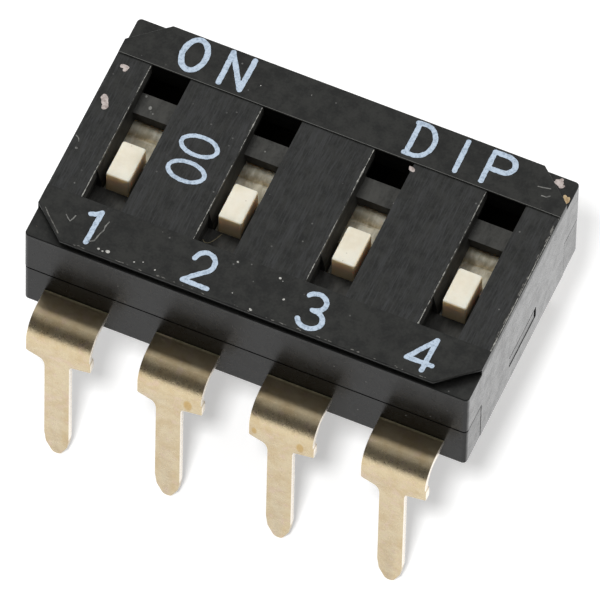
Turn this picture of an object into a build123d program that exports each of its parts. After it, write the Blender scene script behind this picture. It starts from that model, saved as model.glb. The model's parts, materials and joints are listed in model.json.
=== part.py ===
from build123d import *
from math import radians, sin
import os

# Four-position slide switch in a dual-in-line package, with plain through-hole pins.
# Frame: +X runs from position 1 to position 4, +Y points to the ON side and +Z is up.
# The origin is on the plan centre of the body, level with the tips of the pins.
# Every slider is drawn at its OFF end, at the numbered side. All sizes are in millimetres.

# Driving dimensions: the package grid
POSITIONS = 4
PITCH = 2.54
ROW_SPACING = 7.62

# Driving dimensions: the housing
HOUSING_LENGTH = 10.05
HOUSING_WIDTH = 5.88
SEAT_HEIGHT = 3.96
HOUSING_HEIGHT = 2.65
BASE_WALL_HEIGHT = 1.25
BASE_INSET = 0.005
CORNER_RADIUS = 0.10
EDGE_RADIUS = 0.05
WALL_EDGE_RADIUS = 0.03
JOINT_GAP = 0.05

# Driving dimensions: the raised top plate of the cover
LEDGE_DEPTH = 0.17
LEDGE_WIDTH = 0.02
STRIP_RISE = 0.04
PLATE_LIP = 0.05
NECK_INSET = 0.06
PLATE_CHAMFER_X = 0.80
PLATE_CHAMFER_Y = 0.70
RECESS_ON_Y = 1.87
RECESS_NUMBER_Y = -1.735

# Driving dimensions: a slot window and what is moulded in it
SLOT_WIDTH = 0.90
TOP_WALL = 0.485
BAR_DEPTH = 0.24
BAR_START = 0.57
BAR_LENGTH = 0.55
OPENING_WIDTH = 0.68
SHELF_DEPTH = 0.65
SHELF_WALL = 0.20
SHELF_BOSS_WIDTH = 1.24
SHELF_BOSS_LENGTH = 1.00
CHEEK_CLEARANCE = 0.03

# Driving dimensions: the cells and the joint between cover and base
CELL_WIDTH = 1.44
CELL_LENGTH = 4.24
CAVITY_LENGTH = 9.48
CAVITY_WIDTH = 4.90
TONGUE_HEIGHT = 0.40
TONGUE_CLEARANCE = 0.02
FLOOR_HEIGHT = 0.62

# Driving dimensions: the end skirts and their latches
SKIRT_THICKNESS = 0.28
SKIRT_WIDTH = 4.34
SKIRT_CLEARANCE = 0.02
SKIRT_BOTTOM_GAP = 0.03
LATCH_WIDTH = 1.40
LATCH_BOTTOM = 0.55
LATCH_WINDOW_HEIGHT = 0.37
CATCH_CLEARANCE = 0.01
CATCH_WIDTH = 1.30
CATCH_SHIFT = -0.03
CATCH_LAND = 0.28
CATCH_HEIGHT = 0.31

# Driving dimensions: a slider, and where each one rests within its sideways play
TRAVEL = 0.76
KNOB_WIDTH = 0.55
KNOB_LENGTH = 0.92
KNOB_SUNK = 0.12
KNOB_DRAFT = 0.01
KNOB_EDGE_RADIUS = 0.05
KNOB_TOP_RADIUS = 0.03
STOP_CLEARANCE = 0.02
SLIDER_WIDTH = 1.32
SLIDER_REST_X = (0.01, 0.02, 0.05, 0.02)
SLIDER_NOSE = 1.15
SLIDER_TAIL = 1.45
SLIDER_LIFT = 0.08
NOSE_CLEARANCE = 0.03
NOSE_CHAMFER = 0.16
DECK_DROP = 0.075
DECK_START = 0.24
GROOVE_START = 0.83
GROOVE_WIDTH = 0.09
GROOVE_DEPTH = 0.07
HUMP_TOP = 1.10
HUMP_END = 1.34
HUMP_CLEARANCE = 0.02
TAIL_DROP = 0.32

# Driving dimensions: the leaf contact carried in the slider's underside
LEAF_THICKNESS = 0.08
LEAF_WIDTH = 0.92
LEAF_SPLIT = 0.14
LEAF_SPLIT_START = 0.24
LEAF_FOOT_SPACING = 1.20
LEAF_FLAT = 0.62
LEAF_TIP_RUN = 0.20
LEAF_TIP_RISE = 0.20
LEAF_LIFT = 0.03
LEAF_BEND_RADIUS = 0.10
LEAF_TOP = 0.61
POCKET_WIDTH = 1.04
POCKET_LENGTH = 1.94

# Driving dimensions: a terminal
TERMINAL_THICKNESS = 0.17
TERMINAL_WIDTH = 1.42
TERMINAL_BEND = 0.56
BEND_MIDDLE_ANGLE = 45
BEND_TRIM = 0.05
SHOULDER_DROP = 0.98
SHOULDER_CHAMFER_X = 0.10
SHOULDER_CHAMFER_Z = 0.16
SHOULDER_SLOPE = 0.14
SHOULDER_FILLET = 0.24
PIN_WIDTH = 0.57
PIN_TAPER = 0.70
PIN_NOSE = 0.34
PIN_NOSE_WIDTH = 0.49
PIN_TIP_WIDTH = 0.26
PIN_TIP_RADIUS = 0.12
ROOT_WIDTH = 0.96
ROOT_DEPTH = 0.26
FRONT_PAD_END = -0.15
REAR_PAD_START = 0.60
PAD_CORNER_RADIUS = 0.10

# Driving dimensions: the moulding marks under the base
PIN_MARK_RADIUS = 0.24
PIN_MARK_DEPTH = 0.30
PIN_MARK_Y = 1.45

# Heights that follow from the driving dimensions
Z_SEAT = SEAT_HEIGHT
Z_PARTING = Z_SEAT + BASE_WALL_HEIGHT
Z_FLOOR = Z_SEAT + FLOOR_HEIGHT
Z_RECESS = Z_SEAT + HOUSING_HEIGHT
Z_STRIP = Z_RECESS + STRIP_RISE
Z_LEDGE = Z_RECESS - LEDGE_DEPTH
Z_CEILING = Z_RECESS - TOP_WALL
Z_TONGUE = Z_PARTING + TONGUE_HEIGHT
Z_BAR = Z_RECESS - BAR_DEPTH
Z_SHELF = Z_RECESS - SHELF_DEPTH
Z_BOSS = Z_SHELF - SHELF_WALL
Z_KNOB = Z_RECESS - KNOB_SUNK

# Places along Y that follow from the driving dimensions
BAR_ON_Y = RECESS_ON_Y - BAR_START
BAR_NUMBER_Y = BAR_ON_Y - BAR_LENGTH
KNOB_Y = BAR_NUMBER_Y - TRAVEL - KNOB_LENGTH / 2
SHELF_Y = KNOB_Y - KNOB_LENGTH / 2
PIN_FACE_Y = (ROW_SPACING + TERMINAL_THICKNESS) / 2
OVERRUN = 0.05


def slot_x(position):
    """X of a position's centre line, for positions counted from 0."""
    return (position - (POSITIONS - 1) / 2) * PITCH


def block(x_low, x_high, y_low, y_high, z_low, z_high):
    """A box between two corners."""
    size = (x_high - x_low, y_high - y_low, z_high - z_low)
    middle = ((x_low + x_high) / 2, (y_low + y_high) / 2, (z_low + z_high) / 2)
    return Pos(*middle) * Box(*size)


def centred_block(x_middle, width, y_low, y_high, z_low, z_high):
    """A box of a stated width about an X position."""
    return block(x_middle - width / 2, x_middle + width / 2, y_low, y_high, z_low, z_high)


def rounded_prism(length, width, radius, z_low, z_high):
    """An upright prism with rounded corners in plan."""
    return extrude(Pos(0, 0, z_low) * RectangleRounded(length, width, radius), z_high - z_low)


def plate_outline(length, width, chamfer_x, chamfer_y):
    """A rectangle whose four corners are cut off."""
    half_length, half_width = length / 2, width / 2
    corner_x, corner_y = half_length - chamfer_x, half_width - chamfer_y
    points = [(half_length, -corner_y), (half_length, corner_y), (corner_x, half_width),
              (-corner_x, half_width), (-half_length, corner_y), (-half_length, -corner_y),
              (-corner_x, -half_width), (corner_x, -half_width)]
    return make_face(Polyline(*points, close=True))


def top_edges(solid, z_level):
    """The edges of a solid that lie at one height."""
    return solid.edges().filter_by_position(Axis.Z, z_level, z_level)


def cover_body():
    """The outer form of the cover: walls, undercut neck, top plate and end skirts."""
    walls = rounded_prism(HOUSING_LENGTH, HOUSING_WIDTH, CORNER_RADIUS, Z_PARTING, Z_LEDGE)
    walls = fillet(top_edges(walls, Z_LEDGE), WALL_EDGE_RADIUS)
    plate_width = HOUSING_WIDTH - 2 * LEDGE_WIDTH
    neck = Pos(0, 0, Z_LEDGE - EDGE_RADIUS) * extrude(
        plate_outline(HOUSING_LENGTH - 2 * EDGE_RADIUS, plate_width - 2 * NECK_INSET,
                      PLATE_CHAMFER_X, PLATE_CHAMFER_Y), LEDGE_DEPTH + EDGE_RADIUS)
    lip_bottom = Z_STRIP - PLATE_LIP
    plate = Pos(0, 0, lip_bottom) * extrude(
        plate_outline(HOUSING_LENGTH, plate_width, PLATE_CHAMFER_X, PLATE_CHAMFER_Y), PLATE_LIP)
    plate = fillet(top_edges(plate, Z_STRIP), EDGE_RADIUS / 2)
    end_band = plate_width - 2 * PLATE_CHAMFER_Y
    band = block(-HOUSING_LENGTH / 2, HOUSING_LENGTH / 2, -end_band / 2, end_band / 2,
                 Z_LEDGE - 2 * EDGE_RADIUS, lip_bottom)
    body = walls + neck + plate + band
    for side in (-1, 1):
        inner, outer = sorted((side * (HOUSING_LENGTH / 2 - SKIRT_THICKNESS), side * HOUSING_LENGTH / 2))
        body += block(inner, outer, -SKIRT_WIDTH / 2, SKIRT_WIDTH / 2,
                      Z_SEAT + SKIRT_BOTTOM_GAP, Z_PARTING + OVERRUN)
    return body


def slot_boss(x_middle):
    """The thickened wall under the numbered end of one slot, with a cheek on each side of the knob."""
    return centred_block(x_middle, SHELF_BOSS_WIDTH, SHELF_Y - STOP_CLEARANCE - SHELF_BOSS_LENGTH,
                         KNOB_Y + DECK_START - CHEEK_CLEARANCE, Z_BOSS, Z_CEILING)


def drafted_cut(x_middle, y_low, y_high, z_low):
    """A slot whose side walls lean in from the recess down to the opening over the slider."""
    half_top, half_ceiling = SLOT_WIDTH / 2, OPENING_WIDTH / 2
    half_low = half_top - (half_top - half_ceiling) * (Z_RECESS - z_low) / (Z_RECESS - Z_CEILING)
    points = [(-half_low, z_low), (half_low, z_low), (half_top, Z_RECESS),
              (half_top, Z_STRIP + OVERRUN), (-half_top, Z_STRIP + OVERRUN), (-half_top, Z_RECESS)]
    prism = extrude(Plane.XZ * make_face(Polyline(*points, close=True)), y_high - y_low)
    return Pos(x_middle, y_high, 0) * prism


def slot_cut(x_middle):
    """The stepped window of one slot, with a through hole beyond its bar."""
    y_stop = SHELF_Y - STOP_CLEARANCE
    over_bar = drafted_cut(x_middle, y_stop, BAR_ON_Y, Z_BAR)
    beyond_bar = centred_block(x_middle, SLOT_WIDTH, BAR_ON_Y, RECESS_ON_Y,
                               Z_CEILING - OVERRUN, Z_STRIP + OVERRUN)
    over_knob = drafted_cut(x_middle, y_stop, BAR_NUMBER_Y + STOP_CLEARANCE, Z_CEILING)
    knob_way = centred_block(x_middle, OPENING_WIDTH, y_stop, BAR_NUMBER_Y + STOP_CLEARANCE,
                             Z_BOSS - OVERRUN, Z_CEILING + OVERRUN)
    shelf = centred_block(x_middle, SLOT_WIDTH, RECESS_NUMBER_Y, y_stop, Z_SHELF, Z_STRIP + OVERRUN)
    return over_bar + beyond_bar + over_knob + knob_way + shelf


def make_cover():
    """The cover: an open-bottomed shell with four cells, four windows and two latch skirts."""
    cover = cover_body()
    cover -= block(-CAVITY_LENGTH / 2, CAVITY_LENGTH / 2, -CAVITY_WIDTH / 2, CAVITY_WIDTH / 2,
                   Z_SEAT, Z_TONGUE + TONGUE_CLEARANCE)
    half_length = HOUSING_LENGTH / 2 + OVERRUN
    cover -= block(-half_length, half_length, RECESS_NUMBER_Y, RECESS_ON_Y, Z_RECESS, Z_STRIP + OVERRUN)
    for position in range(POSITIONS):
        x_middle = slot_x(position)
        cover -= centred_block(x_middle, CELL_WIDTH, -CELL_LENGTH / 2, CELL_LENGTH / 2,
                               Z_PARTING, Z_CEILING)
        cover += slot_boss(x_middle)
        cover -= slot_cut(x_middle)
    cover -= block(-half_length, half_length, -LATCH_WIDTH / 2, LATCH_WIDTH / 2,
                   Z_SEAT + LATCH_BOTTOM, Z_SEAT + LATCH_BOTTOM + LATCH_WINDOW_HEIGHT)
    return cover


def catch_wedge(side):
    """The sloped catch on one end of the base, which snaps into a skirt's window."""
    root_x = HOUSING_LENGTH / 2 - SKIRT_THICKNESS - SKIRT_CLEARANCE - OVERRUN
    nose_x = HOUSING_LENGTH / 2 - CATCH_CLEARANCE
    z_low = Z_SEAT + LATCH_BOTTOM + CATCH_CLEARANCE
    points = [(root_x, z_low), (nose_x, z_low), (nose_x, z_low + CATCH_LAND), (root_x, z_low + CATCH_HEIGHT)]
    profile = Plane.XZ * make_face(Polyline(*points, close=True))
    wedge = Pos(0, CATCH_SHIFT, 0) * extrude(profile, CATCH_WIDTH / 2, both=True)
    return wedge if side > 0 else wedge.mirror(Plane.YZ)


def make_base(terminals):
    """The base: end-notched block, tongue, four cell floors and beds for the terminals."""
    length, width = HOUSING_LENGTH - 2 * BASE_INSET, HOUSING_WIDTH - 2 * BASE_INSET
    z_rim = Z_PARTING - JOINT_GAP
    base = rounded_prism(length, width, CORNER_RADIUS, Z_SEAT, z_rim)
    base = fillet(top_edges(base, Z_SEAT), EDGE_RADIUS)
    end_x = HOUSING_LENGTH / 2 - SKIRT_THICKNESS - SKIRT_CLEARANCE
    notch_half = SKIRT_WIDTH / 2 + SKIRT_CLEARANCE
    for low, high in ((-HOUSING_LENGTH, -end_x), (end_x, HOUSING_LENGTH)):
        base -= block(low, high, -notch_half, notch_half, Z_SEAT - OVERRUN, z_rim + OVERRUN)
    tongue_length = CAVITY_LENGTH - 2 * TONGUE_CLEARANCE
    tongue_width = CAVITY_WIDTH - 2 * TONGUE_CLEARANCE
    base += block(-tongue_length / 2, tongue_length / 2, -tongue_width / 2, tongue_width / 2,
                  Z_FLOOR, Z_TONGUE)
    for position in range(POSITIONS):
        x_middle = slot_x(position)
        base -= centred_block(x_middle, CELL_WIDTH, -CELL_LENGTH / 2, CELL_LENGTH / 2,
                              Z_FLOOR, Z_TONGUE + OVERRUN)
        for y_mark in (-PIN_MARK_Y, PIN_MARK_Y):
            mark = Cylinder(PIN_MARK_RADIUS, PIN_MARK_DEPTH)
            base -= Pos(x_middle, y_mark, Z_SEAT + PIN_MARK_DEPTH / 2) * mark
    for side in (-1, 1):
        base += catch_wedge(side)
    for terminal in terminals:
        base -= terminal
    return base


def terminal_leg():
    """The upright part of a terminal: a shouldered blade with a tapered, rounded pin tip."""
    z_bend = Z_FLOOR - TERMINAL_BEND
    z_shoulder = Z_FLOOR - SHOULDER_DROP
    half, pin_half, tip_half = TERMINAL_WIDTH / 2, PIN_WIDTH / 2, PIN_TIP_WIDTH / 2
    nose_half = PIN_NOSE_WIDTH / 2
    points = [(-half, z_bend), (half, z_bend), (half, z_shoulder + SHOULDER_CHAMFER_Z),
              (half - SHOULDER_CHAMFER_X, z_shoulder), (pin_half, z_shoulder),
              (pin_half, PIN_TAPER), (nose_half, PIN_NOSE), (tip_half, 0),
              (-tip_half, 0), (-nose_half, PIN_NOSE), (-pin_half, PIN_TAPER),
              (-pin_half, z_shoulder - SHOULDER_SLOPE), (-half, z_shoulder)]
    outline = make_face(Polyline(*points, close=True))
    inner_corner = outline.vertices().sort_by_distance((-pin_half, z_shoulder - SHOULDER_SLOPE))[0]
    outline = fillet(inner_corner, SHOULDER_FILLET)
    tips = outline.vertices().filter_by_position(Axis.Y, -OVERRUN, OVERRUN)
    outline = fillet(tips, PIN_TIP_RADIUS)
    leg = extrude(Plane.XZ * outline, TERMINAL_THICKNESS)
    return Pos(0, -PIN_FACE_Y + TERMINAL_THICKNESS, 0) * leg


def terminal_bend():
    """The quarter-round bend and the flat run that leaves the base, trimmed on its right side."""
    bend_y = -PIN_FACE_Y + TERMINAL_BEND
    bend_z = Z_FLOOR - TERMINAL_BEND
    inner = TERMINAL_BEND - TERMINAL_THICKNESS
    root_y = -HOUSING_WIDTH / 2 + ROOT_DEPTH
    diagonal = sin(radians(BEND_MIDDLE_ANGLE))
    outer_arc = ThreePointArc((-PIN_FACE_Y, bend_z),
                              (bend_y - TERMINAL_BEND * diagonal, bend_z + TERMINAL_BEND * diagonal),
                              (bend_y, Z_FLOOR))
    inner_arc = ThreePointArc((bend_y, Z_FLOOR - TERMINAL_THICKNESS),
                              (bend_y - inner * diagonal, bend_z + inner * diagonal),
                              (-PIN_FACE_Y + TERMINAL_THICKNESS, bend_z))
    lines = [outer_arc, Line((bend_y, Z_FLOOR), (root_y, Z_FLOOR)),
             Line((root_y, Z_FLOOR), (root_y, Z_FLOOR - TERMINAL_THICKNESS)),
             Line((root_y, Z_FLOOR - TERMINAL_THICKNESS), (bend_y, Z_FLOOR - TERMINAL_THICKNESS)),
             inner_arc, Line((-PIN_FACE_Y + TERMINAL_THICKNESS, bend_z), (-PIN_FACE_Y, bend_z))]
    strip = extrude(Plane.YZ * make_face(lines), TERMINAL_WIDTH - BEND_TRIM, dir=(1, 0, 0))
    return Pos(-TERMINAL_WIDTH / 2, 0, 0) * strip


def terminal_pad(pad_end):
    """The narrowed inner end of a terminal, which is the fixed contact on the cell floor."""
    root_y = -HOUSING_WIDTH / 2 + ROOT_DEPTH
    pad = centred_block(0, ROOT_WIDTH, root_y, pad_end, Z_FLOOR - TERMINAL_THICKNESS, Z_FLOOR)
    end_corners = pad.edges().filter_by(Axis.Z).group_by(Axis.Y)[-1]
    return fillet(end_corners, PAD_CORNER_RADIUS)


def make_terminal(x_middle, rear):
    """One terminal. A rear one is the same form turned half a turn, with a shorter pad."""
    pad_end = -REAR_PAD_START if rear else FRONT_PAD_END
    terminal = terminal_leg() + terminal_bend() + terminal_pad(pad_end)
    turned = Rot(0, 0, 180) * terminal if rear else terminal
    return Pos(x_middle, 0, 0) * turned


def slider_profile():
    """The slider's side outline, about the middle of its knob: low nose, deck, groove and hump."""
    z_low = Z_FLOOR + SLIDER_LIFT
    z_nose = Z_BOSS - NOSE_CLEARANCE
    z_deck = Z_CEILING - DECK_DROP
    z_hump = Z_CEILING - HUMP_CLEARANCE
    groove_end = GROOVE_START + GROOVE_WIDTH
    z_tail = Z_CEILING - TAIL_DROP
    points = [(groove_end, z_deck - GROOVE_DEPTH), (GROOVE_START, z_deck - GROOVE_DEPTH / 2),
              (GROOVE_START, z_deck), (DECK_START, z_deck), (DECK_START, z_nose),
              (-SLIDER_NOSE + NOSE_CHAMFER, z_nose), (-SLIDER_NOSE, z_nose - NOSE_CHAMFER),
              (-SLIDER_NOSE, z_low), (SLIDER_TAIL, z_low), (SLIDER_TAIL, z_tail)]
    lines = [Polyline(*points),
             Line((SLIDER_TAIL, z_tail), (HUMP_END, z_deck - GROOVE_DEPTH)),
             ThreePointArc((HUMP_END, z_deck - GROOVE_DEPTH), (HUMP_TOP, z_hump),
                           (groove_end, z_deck - GROOVE_DEPTH))]
    return make_face(lines)


def slider_knob():
    """The finger knob: a drafted block with rounded upright edges and a softened top."""
    z_root = Z_BOSS - NOSE_CLEARANCE - OVERRUN
    root = Pos(0, 0, z_root) * RectangleRounded(KNOB_WIDTH, KNOB_LENGTH, KNOB_EDGE_RADIUS)
    crown = Pos(0, 0, Z_KNOB) * RectangleRounded(KNOB_WIDTH - 2 * KNOB_DRAFT, KNOB_LENGTH - 2 * KNOB_DRAFT,
                                                 KNOB_EDGE_RADIUS)
    knob = loft([root, crown])
    return fillet(knob.faces().sort_by(Axis.Z)[-1].edges(), KNOB_TOP_RADIUS)


def make_slider(x_middle):
    """One slider with the pocket for its leaf contact in the underside."""
    body = extrude(Plane.YZ * slider_profile(), SLIDER_WIDTH / 2, both=True)
    slider = body + slider_knob()
    slider -= centred_block(0, POCKET_WIDTH, -POCKET_LENGTH / 2, POCKET_LENGTH / 2,
                            Z_FLOOR, Z_FLOOR + LEAF_TOP)
    return Pos(x_middle, KNOB_Y, 0) * slider


def make_leaf_contact(x_middle):
    """One bridging contact: a sprung strip with two split feet, held in a slider."""
    z_flat = Z_FLOOR + LEAF_TOP - LEAF_THICKNESS / 2
    z_foot = Z_FLOOR + LEAF_LIFT + LEAF_THICKNESS / 2
    foot, flat = LEAF_FOOT_SPACING / 2, LEAF_FLAT / 2
    tip = foot + LEAF_TIP_RUN
    points = [(0, -tip, z_foot + LEAF_TIP_RISE), (0, -foot, z_foot), (0, -flat, z_flat),
              (0, flat, z_flat), (0, foot, z_foot), (0, tip, z_foot + LEAF_TIP_RISE)]
    path = FilletPolyline(*points, radius=LEAF_BEND_RADIUS)
    start = Plane(path @ 0, x_dir=(1, 0, 0), z_dir=path % 0)
    leaf = sweep(start * Rectangle(LEAF_WIDTH, LEAF_THICKNESS), path=path)
    for side in (-1, 1):
        y_low, y_high = sorted((side * (flat + LEAF_SPLIT_START), side * (tip + OVERRUN)))
        leaf -= centred_block(0, LEAF_SPLIT, y_low, y_high, Z_FLOOR, Z_FLOOR + LEAF_TOP)
    return Pos(x_middle, KNOB_Y, 0) * leaf


def build_parts():
    """All parts by name."""
    parts = {}
    for position in range(POSITIONS):
        number = position + 1
        x_middle = slot_x(position)
        parts[f"front_terminal_{number}"] = make_terminal(x_middle, rear=False)
        parts[f"rear_terminal_{number}"] = make_terminal(x_middle, rear=True)
        x_slider = x_middle + SLIDER_REST_X[position]
        parts[f"slider_{number}"] = make_slider(x_slider)
        parts[f"moving_contact_{number}"] = make_leaf_contact(x_slider)
    terminals = [solid for name, solid in parts.items() if "terminal" in name]
    parts["base"] = make_base(terminals)
    parts["cover"] = make_cover()
    return parts


os.makedirs("parts", exist_ok=True)
for part_name, part_solid in build_parts().items():
    export_step(part_solid, f"parts/{part_name}.step")
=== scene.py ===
import json
import logging
import math
from dataclasses import dataclass
from enum import Enum
from typing import Any, Sequence

import bmesh
import bpy
import numpy as np
from mathutils import Matrix, Vector, noise

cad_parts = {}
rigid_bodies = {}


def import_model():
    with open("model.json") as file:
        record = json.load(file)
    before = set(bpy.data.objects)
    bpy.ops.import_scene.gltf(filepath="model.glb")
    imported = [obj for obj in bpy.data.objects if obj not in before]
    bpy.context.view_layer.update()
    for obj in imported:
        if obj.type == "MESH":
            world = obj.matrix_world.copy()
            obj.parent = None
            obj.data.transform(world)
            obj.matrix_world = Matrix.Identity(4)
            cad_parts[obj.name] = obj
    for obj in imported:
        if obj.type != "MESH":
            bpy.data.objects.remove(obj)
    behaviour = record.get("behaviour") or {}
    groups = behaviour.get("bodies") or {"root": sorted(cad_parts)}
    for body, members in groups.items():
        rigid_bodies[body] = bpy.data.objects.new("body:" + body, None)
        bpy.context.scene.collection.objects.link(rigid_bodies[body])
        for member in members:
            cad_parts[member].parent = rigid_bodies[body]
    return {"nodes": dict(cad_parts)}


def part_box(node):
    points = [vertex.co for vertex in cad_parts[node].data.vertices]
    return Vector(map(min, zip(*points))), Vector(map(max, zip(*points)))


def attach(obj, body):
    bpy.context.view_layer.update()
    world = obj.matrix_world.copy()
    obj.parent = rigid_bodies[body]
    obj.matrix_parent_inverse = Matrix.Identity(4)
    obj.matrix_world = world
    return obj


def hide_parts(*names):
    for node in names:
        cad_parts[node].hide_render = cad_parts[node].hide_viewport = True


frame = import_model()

LOG = logging.getLogger("switch")

MM = 0.001
POSITIONS = 4
PITCH = 2.54
QUARTER_TURN = math.pi / 2
HOUSING = "housing"

Point = tuple[float, float]
Colour = tuple[float, float, float]


class Slot(Enum):
    """The names of the record's material slots."""

    COVER = "black_cover"
    BASE = "black_base"
    CREAM = "cream_plastic"
    GOLD = "gold_plate"
    CONTACT = "contact_gold"


class Graph:
    """A node tree that grows by expressions, for materials and for geometry alike."""

    def __init__(self, tree: bpy.types.NodeTree) -> None:
        """Wraps a tree.

        Args:
            tree: the node tree that new nodes go into.
        """
        self.tree = tree

    def node(self, kind: str, settings: dict[str, Any] | None = None,
             inputs: dict[int | str, Any] | None = None, output: int | str = 0) -> "Value":
        """Adds one node, sets it up and feeds its sockets.

        Args:
            kind: the node's type, such as ShaderNodeMath.
            settings: the node's own properties, set before its sockets.
            inputs: socket index or name to a value, another node's output, or a list of such outputs.
            output: the output socket that is wanted.

        Returns:
            The wanted output as a value, with no socket where the node has no output.
        """
        made = self.tree.nodes.new(kind)
        for name, setting in (settings or {}).items():
            setattr(made, name, setting)
        for name, given in (inputs or {}).items():
            if isinstance(given, (Value, list)):
                for source in given if isinstance(given, list) else [given]:
                    self.tree.links.new(source.socket, made.inputs[name])
            else:
                made.inputs[name].default_value = given
        return Value(self, made.outputs[output] if made.outputs else None)

    def maths(self, operation: str, *operands: Any) -> "Value":
        """A Math node on values and numbers."""
        return self.node("ShaderNodeMath", {"operation": operation}, dict(enumerate(operands)))

    def ramp(self, value: "Value", low: float, high: float) -> "Value":
        """A smooth rise from 0 at low to 1 at high."""
        return self.node("ShaderNodeMapRange", {"interpolation_type": "SMOOTHSTEP"},
                         {"Value": value, "From Min": low, "From Max": high})

    def within(self, value: "Value", low: float, high: float, soft: float) -> "Value":
        """1 between low and high, falling to 0 over a soft edge on both sides."""
        return self.ramp(value, low - soft, low + soft) * (1 - self.ramp(value, high - soft, high + soft))

    def split(self, vector: "Value") -> tuple["Value", "Value", "Value"]:
        """The X, Y and Z of a vector."""
        first = self.node("ShaderNodeSeparateXYZ", {}, {0: vector})
        return first, first.other(1), first.other(2)

    def absolute(self, value: "Value") -> "Value":
        """The value without its sign."""
        return self.maths("ABSOLUTE", value)

    def blend(self, factor: Any, first: Any, second: Any) -> "Value":
        """A colour mix.

        Args:
            factor: 0 gives the first colour and 1 the second.
            first: a colour or a colour output.
            second: a colour or a colour output.

        Returns:
            The mixed colour.
        """
        first, second = (given if isinstance(given, Value) else (*given, 1.0) for given in (first, second))
        return self.node("ShaderNodeMix", {"data_type": "RGBA"}, {0: factor, 6: first, 7: second}, 2)


class Value:
    """One output socket, with Python's arithmetic."""

    def __init__(self, graph: Graph, socket: bpy.types.NodeSocket | None) -> None:
        """Wraps an output socket of the graph."""
        self.graph = graph
        self.socket = socket

    def other(self, output: int | str) -> "Value":
        """Another output of the same node."""
        return Value(self.graph, self.socket.node.outputs[output])

    def __add__(self, other: Any) -> "Value":
        """The sum."""
        return self.graph.maths("ADD", self, other)

    def __sub__(self, other: Any) -> "Value":
        """The difference."""
        return self.graph.maths("SUBTRACT", self, other)

    def __mul__(self, other: Any) -> "Value":
        """The product."""
        return self.graph.maths("MULTIPLY", self, other)

    def __truediv__(self, other: Any) -> "Value":
        """The quotient."""
        return self.graph.maths("DIVIDE", self, other)

    def __rsub__(self, other: Any) -> "Value":
        """The difference, reflected."""
        return self.graph.maths("SUBTRACT", other, self)

    __radd__ = __add__
    __rmul__ = __mul__

    def least(self, other: Any) -> "Value":
        """The smaller of two values."""
        return self.graph.maths("MINIMUM", self, other)

    def most(self, other: Any) -> "Value":
        """The larger of two values."""
        return self.graph.maths("MAXIMUM", self, other)


class ShaderGraph(Graph):
    """A material's node tree, with its coordinates in millimetres."""

    def __init__(self, name: str) -> None:
        """Starts a material.

        Args:
            name: the material's name.
        """
        self.material = bpy.data.materials.new(name)
        self.material.use_nodes = True
        super().__init__(self.material.node_tree)
        self.tree.nodes.clear()
        coordinates = self.node("ShaderNodeTexCoord", output="Object")
        self.place = self.node("ShaderNodeVectorMath", {"operation": "SCALE"},
                               {0: coordinates, "Scale": 1 / MM})
        self.x, self.y, self.z = self.split(self.place)

    def across_pitch(self) -> Value:
        """Millimetres from the nearest switch position's centre line, negative on its left."""
        return (self.maths("FRACT", self.x / PITCH) - 0.5) * PITCH

    def near(self, spots: Sequence[tuple[float, float, float]]) -> Value:
        """Soft round spots on faces that look along Y.

        Args:
            spots: X, Z and half width of each, in millimetres. Each is twice as tall as wide.

        Returns:
            1 inside the spots and 0 elsewhere.
        """
        total: Any = 0.0
        for x, z, radius in spots:
            square = (self.x - x) * (self.x - x) + (self.z - z) * (self.z - z) * 0.25
            total = 1 - self.ramp(square, (radius * 0.5) ** 2, radius ** 2) + total
        return total

    def grain(self, scale: float, detail: float = 3.0, roughness: float = 0.55,
              stretch: tuple[float, float, float] = (1.0, 1.0, 1.0)) -> Value:
        """Noise over the object's own coordinates.

        Args:
            scale: waves per millimetre.
            detail: octaves.
            roughness: strength of each finer octave.
            stretch: factor on each axis, so a small one draws the pattern out along it.

        Returns:
            Noise around 0.5.
        """
        vector = self.node("ShaderNodeVectorMath", {"operation": "MULTIPLY"}, {0: self.place, 1: stretch})
        return self.node("ShaderNodeTexNoise", {}, {"Vector": vector, "Scale": scale, "Detail": detail,
                                                    "Roughness": roughness})

    def spots(self, scale: float, size: float, amount: float) -> Value:
        """Scattered small spots.

        Args:
            scale: cells per millimetre.
            size: a spot's radius as a share of its cell.
            amount: share of the cells that hold a spot.

        Returns:
            1 in a spot and 0 elsewhere.
        """
        cell = self.node("ShaderNodeTexVoronoi", {}, {"Vector": self.place, "Scale": scale}, "Distance")
        near = 1 - self.ramp(cell, size * 0.7, size)
        lottery = self.node("ShaderNodeSeparateColor", {}, {0: cell.other("Color")})
        return near * self.maths("LESS_THAN", lottery, amount)

    def bump(self, height: Value, distance: float, strength: float = 1.0) -> Value:
        """A normal from a height.

        Args:
            height: the height pattern, about 0 to 1.
            distance: millimetres from the lowest to the highest.
            strength: how much of it shows.

        Returns:
            The bent normal.
        """
        return self.node("ShaderNodeBump", {}, {"Height": height, "Distance": distance * MM, "Strength": strength})

    def finish(self, settings: dict[str, Any] | None = None, **sockets: Any) -> bpy.types.Material:
        """Ends the material in one Principled shader.

        Args:
            settings: the shader's own properties.
            **sockets: Principled sockets, with underscores for spaces.

        Returns:
            The finished material.
        """
        inputs = {name.replace("_", " "): given for name, given in sockets.items()}
        shader = self.node("ShaderNodeBsdfPrincipled", settings, inputs, "BSDF")
        self.node("ShaderNodeOutputMaterial", {}, {"Surface": shader})
        return self.material


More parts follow.
